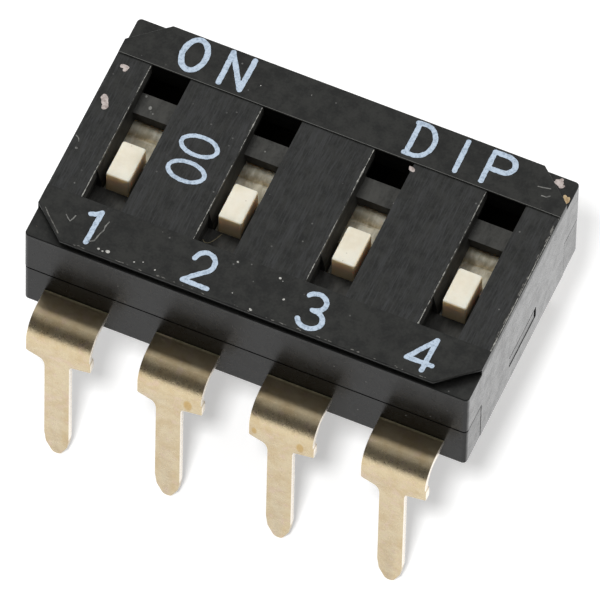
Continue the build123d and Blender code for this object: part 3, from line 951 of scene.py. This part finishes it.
@dataclass
class EdgeFlash:
    """Raised burrs along the slots' left edges and the plate's rim, grown along their paths by one node tree.

    Each path lists Y and the burr's strength there. Its finer unevenness is noise.
    """

    levels: Levels
    radius: float = 0.025
    spacing: float = 0.025
    wander: float = 0.014
    seed: float = 4.0
    slots: tuple[tuple[Point, ...], ...] = (
        ((-1.72, 0.9), (-1.3, 0.75), (-0.96, 0.9), (-0.80, 1.0), (-0.72, 0.35), (0.0, 0.4), (0.55, 0.45),
         (0.66, 1.1), (0.78, 0.3), (1.15, 0.35), (1.22, 0.8), (1.5, 0.5), (1.85, 0.7)),
        ((-1.74, 1.0), (-1.2, 0.9), (-0.86, 0.85), (-0.75, 0.4), (-0.3, 0.55), (0.4, 0.45), (1.05, 0.4),
         (1.15, 1.1), (1.5, 0.95), (1.85, 0.8)),
        ((-1.72, 0.7), (-1.2, 0.7), (-0.4, 0.45), (0.5, 0.35), (0.88, 0.5), (0.95, 1.5), (1.20, 1.2),
         (1.36, 0.8), (1.6, 0.9), (1.85, 1.0)),
        ((-1.72, 1.5), (-1.66, 0.9), (-1.1, 0.8), (-0.72, 0.9), (-0.62, 1.35), (-0.5, 0.8), (-0.02, 0.9),
         (0.05, 1.5), (0.13, 0.6), (0.6, 0.25), (0.9, 0.7), (1.4, 0.9), (1.85, 0.9)))
    rim: tuple[Point, ...] = ((-1.95, 0.9), (-1.5, 1.0), (-1.0, 0.6), (-0.6, 1.0), (-0.2, 0.7), (0.2, 0.9),
                              (0.8, 0.5), (1.3, 0.8), (1.9, 0.5))

    def _paths(self) -> bpy.types.Mesh:
        """Straight guide lines with the burr's strength stored on their points.

        Returns:
            The guide lines.
        """
        levels = self.levels
        lanes = [(slot_x(position) - levels.slot_half, lane) for position, lane in enumerate(self.slots)]
        lanes.append((levels.end - 0.024, self.rim))
        places, links, strengths = [], [], []
        for x, lane in lanes:
            knots = np.array(lane)
            ys = np.arange(knots[0, 0], knots[-1, 0], self.spacing)
            links += [(len(places) + step, len(places) + step + 1) for step in range(len(ys) - 1)]
            places += [(x * MM, y * MM, (levels.recess - 0.004) * MM) for y in ys]
            strengths += list(np.interp(ys, knots[:, 0], knots[:, 1]))
        mesh = bpy.data.meshes.new("edge_flash")
        mesh.from_pydata(places, links, [])
        mesh.attributes.new("strength", "FLOAT", "POINT").data.foreach_set("value", strengths)
        return mesh

    def growth(self) -> FormingGraph:
        """The node tree that runs a burr of uneven thickness along each line it is given.

        Returns:
            The tree, with its sizes as named inputs.
        """
        graph = FormingGraph("edge_flash_growth", ("Radius", "Wander", "Seed"))
        given = graph.given
        strength = graph.node("GeometryNodeInputNamedAttribute", {"data_type": "FLOAT"}, {"Name": "strength"})
        curve = graph.node("GeometryNodeMeshToCurve", {}, {"Mesh": given["Geometry"]})
        uneven = graph.node("ShaderNodeTexNoise", {"noise_dimensions": "4D"},
                            {"W": given["Seed"], "Scale": 3.4 / MM, "Detail": 4.0, "Roughness": 0.8})
        size = strength * graph.node("ShaderNodeMapRange", {}, {
            "Value": uneven, "From Min": 0.40, "From Max": 0.64, "To Min": 0.10, "To Max": 1.0})
        side = graph.node("ShaderNodeTexNoise", {"noise_dimensions": "4D"},
                          {"W": given["Seed"] + 7.0, "Scale": 4.0 / MM, "Detail": 3.0})
        shift = graph.node("ShaderNodeCombineXYZ", {}, {0: (side - 0.5) * given["Wander"]})
        moved = graph.node("GeometryNodeSetPosition", {}, {"Geometry": curve, "Offset": shift})
        sized = graph.node("GeometryNodeSetCurveRadius", {}, {"Curve": moved, "Radius": size})
        ring = graph.node("GeometryNodeCurvePrimitiveCircle", {}, {"Resolution": 7, "Radius": given["Radius"]})
        inputs: dict[int | str, Any] = {"Curve": sized, "Profile Curve": ring, "Fill Caps": True}
        tube = graph.node("GeometryNodeCurveToMesh", {}, inputs)
        if "Scale" in tube.socket.node.inputs:
            graph.tree.links.new(size.socket, tube.socket.node.inputs["Scale"])
        graph.close(tube)
        return graph

    def build(self, material: bpy.types.Material) -> bpy.types.Object:
        """Grows every burr.

        Args:
            material: the burr's material.

        Returns:
            The burrs as one piece.
        """
        piece = place_mesh("edge_flash", self._paths())
        self.growth().run_on(piece, Radius=self.radius * MM, Wander=self.wander * MM, Seed=self.seed, Plate=material)
        bake_modifiers(piece)
        return settle(piece, HOUSING)


@dataclass
class Printing:
    """The characters on the top strips and the plain digits between the first two slots."""

    levels: Levels
    cap_low: float = 2.02
    cap_high: float = 2.82
    half_width: float = 0.060

    def letters_on(self) -> list[Stroke]:
        """The strokes of ON."""
        low, high, pen = self.cap_low, self.cap_high, self.half_width
        middle = (low + high) / 2
        return [Stroke(arc((-3.53, middle + 0.01), (0.255, 0.39), 0, 360, 48), pen + 0.004),
                Stroke(((-2.80, low), (-2.81, high), (-2.325, low), (-2.31, high)), pen)]

    def letters_dip(self) -> list[Stroke]:
        """The strokes of DIP, the plain name of the package."""
        low, high, pen = self.cap_low, self.cap_high, self.half_width
        middle = (low + high) / 2
        bowl = arc((1.60, middle), (0.315, 0.40), 90, -90, 24)
        return [Stroke(((1.41, high - 0.01), *bowl, (1.405, low)), pen - 0.005),
                Stroke(((1.455, high), (1.455, low)), pen - 0.004),
                Stroke(((2.55, high - 0.02), (2.56, low)), pen - 0.004),
                Stroke(((3.155, high - 0.02), (3.16, low)), pen - 0.002),
                Stroke(((3.16, high - 0.02), *arc((3.46, 2.59), (0.225, 0.21), 90, -90, 20), (3.20, 2.38)), pen)]

    def numbers(self) -> list[Stroke]:
        """The strokes of 1, 2, 3 and 4."""
        pen = self.half_width
        one = Stroke(((-3.90, -2.05), (-3.80, -2.02), (-3.70, -1.93), (-3.715, -2.73)), pen - 0.004)
        two = Stroke(((-1.50, -2.16), *arc((-1.27, -2.18), (0.225, 0.245), 150, -50, 20),
                      (-1.36, -2.57), (-1.52, -2.745), (-0.96, -2.75)), pen - 0.004)
        three = Stroke((*arc((1.235, -2.125), (0.225, 0.205), 150, -70, 18), (1.24, -2.33),
                        *arc((1.285, -2.555), (0.265, 0.225), 80, -160, 20)), pen - 0.004)
        four = Stroke(((3.885, -2.745), (3.90, -1.95), (3.475, -2.575), (4.04, -2.565)), pen - 0.004)
        return [one, two, three, four]

    def plain_digits(self) -> list[Stroke]:
        """Two plain noughts that read along +Y, as generic marks."""
        pen = self.half_width - 0.012
        return [Stroke(arc((-2.53, -0.26), (0.40, 0.235), 0, 360, 40), pen),
                Stroke(arc((-2.53, 0.42), (0.40, 0.235), 0, 360, 40), pen)]

    def build(self, ink: bpy.types.Material) -> list[bpy.types.Object]:
        """Prints every group of characters.

        Args:
            ink: the marking ink.

        Returns:
            The printed pieces.
        """
        groups = (("print_on", self.letters_on(), self.levels.top),
                  ("print_dip", self.letters_dip(), self.levels.top),
                  ("print_numbers", self.numbers(), self.levels.top),
                  ("print_digits", self.plain_digits(), self.levels.recess))
        pieces = []
        for name, strokes, level in groups:
            piece = FlatMark(name, strokes, level).build(ink)
            pieces.append(settle(piece, HOUSING))
        return pieces


@dataclass
class Wear:
    """Chips, scratches and lint on the cover where the object shows them, and fine nicks drawn at random."""

    levels: Levels
    seed: int = 11
    lip_nicks: int = 46
    edge_nicks: int = 24
    chip_scale: float = 11.0
    mark_scale: float = 13.0

    def chips(self) -> list[Patch]:
        """Pale chips of the recessed face, down to bare filler."""
        return [Patch((-4.76, 1.594), (0.085, 0.06), 0.2), Patch((-4.71, 1.554), (0.05, 0.07), 0.0),
                Patch((-4.795, 0.654), (0.075, 0.16), 0.50), Patch((-4.725, 0.514), (0.075, 0.07), -0.2),
                Patch((1.71, 1.735), (0.085, 0.05), -0.5)]

    def corner_chips(self) -> list[Patch]:
        """Pale chips on the ledge beside the plate's far cut corner."""
        return [Patch((4.61, 2.775), (0.10, 0.085), -0.3), Patch((4.53, 2.726), (0.09, 0.04), 0.5),
                Patch((4.702, 2.706), (0.06, 0.05), 0.0), Patch((4.652, 2.845), (0.035, 0.045), 0.0)]

    def ledge_chips(self) -> list[Patch]:
        """Chips on the corner ledges below the plate."""
        return [Patch((4.93, 2.42), (0.055, 0.10), -0.3), Patch((4.87, 2.50), (0.04, 0.05), 0.2),
                Patch((-4.86, -2.66), (0.012, 0.012), 0.0)]

    def scratches(self) -> list[Stroke]:
        """Light scratches on the numbered strip and near the far corner."""
        return [Stroke(((-4.36, -2.27), (-4.30, -2.33), (-4.225, -2.39), (-4.19, -2.30), (-4.17, -2.22)), 0.011),
                Stroke(((-3.47, -2.08), (-3.50, -2.20), (-3.49, -2.30), (-3.53, -2.42), (-3.57, -2.62),
                        (-3.66, -2.68)), 0.014),
                Stroke(((4.30, 2.38), (4.42, 2.40), (4.56, 2.43)), 0.011),
                Stroke(((4.46, 2.20), (4.56, 2.205), (4.62, 2.26)), 0.010)]

    def recess_marks(self) -> list[Stroke | Patch]:
        """A short scratch and a dot at the left end of the recessed face."""
        return [Stroke(((-4.985, -0.376), (-4.91, -0.416), (-4.87, -0.496)), 0.010),
                Patch((-4.846, -0.662), (0.03, 0.024), 0.0)]

    def dots(self) -> list[Patch]:
        """Small pale dots on the strips."""
        places = ((-3.41, -2.77, 0.026), (-3.20, -2.755, 0.045), (-3.31, -2.79, 0.018), (0.32, -1.885, 0.03),
                  (-0.636, -1.882, 0.028), (0.593, -2.335, 0.03), (0.075, -2.85, 0.026),
                  (-2.60, -2.766, 0.018), (-2.43, -2.69, 0.016), (-2.13, -2.767, 0.022), (0.05, -2.83, 0.014),
                  (0.40, -1.93, 0.014), (-0.44, -2.62, 0.014), (-1.96, 2.30, 0.012), (-0.90, 2.52, 0.012))
        return [Patch((x, y), (size, size * 0.8), x) for x, y, size in places]

    def nicks(self) -> list[Patch]:
        """Tiny nicks along the plate's front lip, drawn at random."""
        draw = np.random.default_rng(self.seed)
        made = []
        for _ in range(self.lip_nicks):
            x = draw.uniform(-4.0, 4.1)
            made.append(Patch((x, self.levels.front + draw.uniform(0.045, 0.075)),
                              (draw.uniform(0.012, 0.05), draw.uniform(0.006, 0.011)), draw.uniform(-0.2, 0.2)))
        return made

    def worn_corner(self) -> list[Stroke]:
        """A worn line along the plate's cut corner."""
        return [Stroke(((-4.83, -2.28), (-4.70, -2.42), (-4.52, -2.58), (-4.33, -2.76)), 0.010)]

    def end_nicks(self) -> list[Patch]:
        """Nicks along the plate's right edge, drawn at random."""
        draw = np.random.default_rng(self.seed + 1)
        return [Patch((self.levels.end - draw.uniform(0.035, 0.06), draw.uniform(-1.6, 1.7)),
                      (draw.uniform(0.006, 0.016), draw.uniform(0.015, 0.08)), 0.0) for _ in range(self.edge_nicks)]

    def lint(self) -> list[Stroke]:
        """A curl of lint on the shelf of the second slot."""
        return [Stroke(((-1.690, -1.278), (-1.640, -1.315), (-1.585, -1.311), (-1.530, -1.270), (-1.491, -1.215),
                        (-1.440, -1.110), (-1.390, -0.981)), 0.010)]

    def bar_specks(self) -> list[Patch]:
        """Specks on the bars of the slots."""
        return [Patch((-3.913, 1.013), (0.035, 0.05), 0.3), Patch((-1.293, 1.003), (0.022, 0.022)),
                Patch((-3.86, 0.93), (0.014, 0.014)), Patch((-3.80, 0.90), (0.012, 0.02)),
                Patch((-4.10, 1.24), (0.02, 0.03)), Patch((1.679, 0.934), (0.03, 0.02), 0.4)]

    def build(self) -> list[bpy.types.Object]:
        """Makes the marks.

        Returns:
            The marks as pieces.
        """
        bare = PlainMark("bare_filler", (0.60, 0.53, 0.50), (0.34, 0.28, 0.26)).make()
        amber = PlainMark("amber_flake", (0.60, 0.46, 0.27), (0.36, 0.24, 0.12)).make()
        scuff = PlainMark("scuff", (0.22, 0.22, 0.205), (0.10, 0.10, 0.095)).make()
        grit = PlainMark("grit", (0.62, 0.61, 0.57), (0.30, 0.30, 0.28)).make()
        faint = PlainMark("faint_nick", (0.17, 0.165, 0.15), (0.05, 0.05, 0.047)).make()
        hair = PlainMark("lint", (0.26, 0.22, 0.13), (0.16, 0.14, 0.09)).make()
        levels = self.levels
        rows = (("edge_chips", self.chips(), levels.recess, 0.010, 0.030, bare),
                ("corner_chips", self.corner_chips(), levels.ledge, 0.010, 0.030, bare),
                ("recess_marks", self.recess_marks(), levels.recess, 0.008, 0.009, scuff),
                ("ledge_chips", self.ledge_chips(), levels.ledge, 0.010, 0.020, amber),
                ("strip_scratches", self.scratches(), levels.top, 0.008, 0.009, scuff),
                ("strip_dots", self.dots(), levels.top, 0.008, 0.010, grit),
                ("lip_nicks", [*self.nicks(), *self.worn_corner()], levels.top, 0.009, 0.006, faint),
                ("end_nicks", self.end_nicks(), levels.recess, 0.009, 0.006, faint),
                ("shelf_lint", self.lint(), levels.shelf, 0.007, 0.004, hair),
                ("bar_specks", self.bar_specks(), levels.bar, 0.008, 0.010, scuff))
        made = []
        for name, shapes, level, cell, ragged, material in rows:
            scale = self.chip_scale if name == "edge_chips" else self.mark_scale
            mark = FlatMark(name, shapes, level, cell=cell, ragged=ragged, ragged_scale=scale)
            made.append(settle(mark.build(material), HOUSING))
        return made


@dataclass
class CarriedNodes:
    """The CAD pieces that stay as they are and only take their finish here."""

    levels: Levels

    def dress(self) -> None:
        """Assigns every carried node its material."""
        nodes = frame["nodes"]
        cover = BlackMoulding("black_cover_moulding", self.levels).make()
        base = BlackMoulding("black_base_moulding", self.levels, end_gloss=0.72).make()
        cream, gold = CreamMoulding(self.levels).make(), GoldPlate("contact_plate").make()
        finishes: list[tuple[str, bpy.types.Material]] = [("cover", cover), ("base", base)]
        for position in range(1, POSITIONS + 1):
            finishes += [(f"slider_{position}", cream), (f"moving_contact_{position}", gold)]
        for name, material in finishes:
            mesh = nodes[name].data
            mesh.materials.clear()
            mesh.materials.append(material)
            LOG.info("%s takes %s", name, material.name)


@dataclass(frozen=True)
class Softbox:
    """One square studio light that faces a point. Polished faces don't mirror it."""

    name: str
    place: tuple[float, float, float]
    size: float
    power: float
    floor_only: bool = False

    def build(self, aim: Vector, lit: bpy.types.Collection) -> bpy.types.Object:
        """Hangs the light.

        Args:
            aim: the point it faces, in metres.
            lit: the collection that it lights.

        Returns:
            The light's object.
        """
        data = bpy.data.lights.new(self.name, "AREA")
        data.shape, data.size, data.energy = "SQUARE", self.size, self.power
        light = bpy.data.objects.new(self.name, data)
        light.location = Vector(self.place)
        light.rotation_euler = (aim - light.location).to_track_quat("-Z", "Y").to_euler()
        light.visible_camera = light.visible_glossy = False
        light.light_linking.receiver_collection = lit
        bpy.context.scene.collection.objects.link(light)
        return light


@dataclass
class Studio:
    """Pale floor, soft lights and a surround that is dark near the horizon and dimmer in front."""

    floor_half: float = 1.5
    floor_glow: float = 0.42
    floor_albedo: float = 0.80
    sky_back: float = 0.85
    sky_front: float = 0.40
    horizon: float = 0.11
    horizon_back: float = 0.50
    horizon_front: float = 0.80
    boxes: tuple[Softbox, ...] = (
        Softbox("key_softbox", (-0.16, 0.10, 0.26), 0.12, 0.70),
        Softbox("floor_softbox", (0.040, -0.188, 0.351), 0.045, 1.08, floor_only=True),
    )

    def floor(self) -> bpy.types.Object:
        """The pale floor, at the level of the pin tips."""
        sheet = bmesh.new()
        bmesh.ops.create_grid(sheet, x_segments=1, y_segments=1, size=self.floor_half)
        mesh = bpy.data.meshes.new("studio_floor")
        sheet.to_mesh(mesh)
        sheet.free()
        graph = ShaderGraph("pale_floor")
        mesh.materials.append(graph.finish(
            Base_Color=(self.floor_albedo,) * 3 + (1.0,), Roughness=1.0, Specular_IOR_Level=0.0,
            Emission_Color=(1.0, 1.0, 1.0, 1.0), Emission_Strength=self.floor_glow))
        piece = place_mesh("studio_floor", mesh)
        return piece

    def surround(self) -> None:
        """The world: bright overhead and dark near the horizon, but plain and pale to the camera."""
        world = bpy.data.worlds.new("surround")
        bpy.context.scene.world = world
        world.use_nodes = True
        graph = Graph(world.node_tree)
        world.node_tree.nodes.clear()
        _, depth, height = graph.split(graph.node("ShaderNodeTexCoord", output="Generated"))
        behind = graph.ramp(depth, -0.35, 0.30)
        edge = behind * (self.horizon_back - self.horizon_front) + self.horizon_front
        light = graph.ramp(height - edge, -0.10, 0.10)
        sky = behind * (self.sky_back - self.sky_front) + self.sky_front
        level = light * (sky - self.horizon) + self.horizon
        seen = graph.node("ShaderNodeLightPath", output="Is Camera Ray")
        strength = seen + (1 - seen) * level
        back = graph.node("ShaderNodeBackground", {}, {"Color": (1.0, 1.0, 1.0, 1.0), "Strength": strength})
        graph.node("ShaderNodeOutputWorld", {}, {"Surface": back})

    def build(self, aim: Vector) -> None:
        """Sets the whole studio up around a point, with one light for the floor and one for the rest."""
        floor = self.floor()
        self.surround()
        ground, model = (bpy.data.collections.new(name) for name in ("floor_lit", "model_lit"))
        ground.objects.link(floor)
        for piece in bpy.context.scene.objects:
            if piece.type == "MESH" and piece is not floor:
                model.objects.link(piece)
        for box in self.boxes:
            box.build(aim, ground if box.floor_only else model)
        bpy.context.scene.view_settings.view_transform = "Standard"


@dataclass(frozen=True)
class PhotoCamera:
    """The long-lens camera of the product shot. Angles in degrees, places in millimetres."""

    azimuth: float = 22.433
    elevation: float = 57.689
    roll: float = -1.494
    aim: tuple[float, float, float] = (0.2965, -0.7238, 4.1153)
    distance: float = 408.64
    lens: float = 1175.6
    sensor: float = 36.0

    def build(self) -> Vector:
        """Makes the camera and sets it as the scene's.

        Returns:
            The point it looks at, in metres.
        """
        az, el, roll = (math.radians(angle) for angle in (self.azimuth, self.elevation, self.roll))
        back = Vector((math.sin(az) * math.cos(el), -math.cos(az) * math.cos(el), math.sin(el)))
        level = (-back).cross(Vector((0, 0, 1))).normalized()
        down = (-back).cross(level)
        right = level * math.cos(roll) + down * math.sin(roll)
        up = level * math.sin(roll) - down * math.cos(roll)
        data = bpy.data.cameras.new("photo_camera")
        data.lens, data.sensor_width = self.lens, self.sensor
        data.clip_start, data.clip_end = 0.01, 20.0
        camera = bpy.data.objects.new("photo_camera", data)
        aim = Vector(self.aim) * MM
        turn = Matrix((right, up, back)).transposed().to_4x4()
        camera.matrix_world = Matrix.Translation(aim + back * self.distance * MM) @ turn
        bpy.context.scene.collection.objects.link(camera)
        bpy.context.scene.camera = camera
        return aim


def main() -> None:
    """Builds the camera, the studio and every piece in order."""
    logging.basicConfig(level=logging.INFO, format="%(name)s: %(message)s")
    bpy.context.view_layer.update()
    levels = Levels.from_frame()
    aim = PhotoCamera().build()
    CarriedNodes(levels).dress()
    gold = GoldPlate().make()
    fronts = tuple(f"front_terminal_{number}" for number in range(1, POSITIONS + 1))
    rears = tuple(f"rear_terminal_{number}" for number in range(1, POSITIONS + 1))
    TerminalRow("front_terminals", fronts, 0.0, levels, pad_end=0.15).build(gold)
    TerminalRow("rear_terminals", rears, math.pi, levels, pad_end=0.60).build(gold)
    flash = PlainMark("flash_burr", (0.44, 0.435, 0.40), (0.11, 0.11, 0.10), 0.35).make()
    EdgeFlash(levels).build(flash)
    Printing(levels).build(PrintInk().make())
    Wear(levels).build()
    Studio().build(aim)
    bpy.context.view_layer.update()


if __name__ == "__main__":
    main()
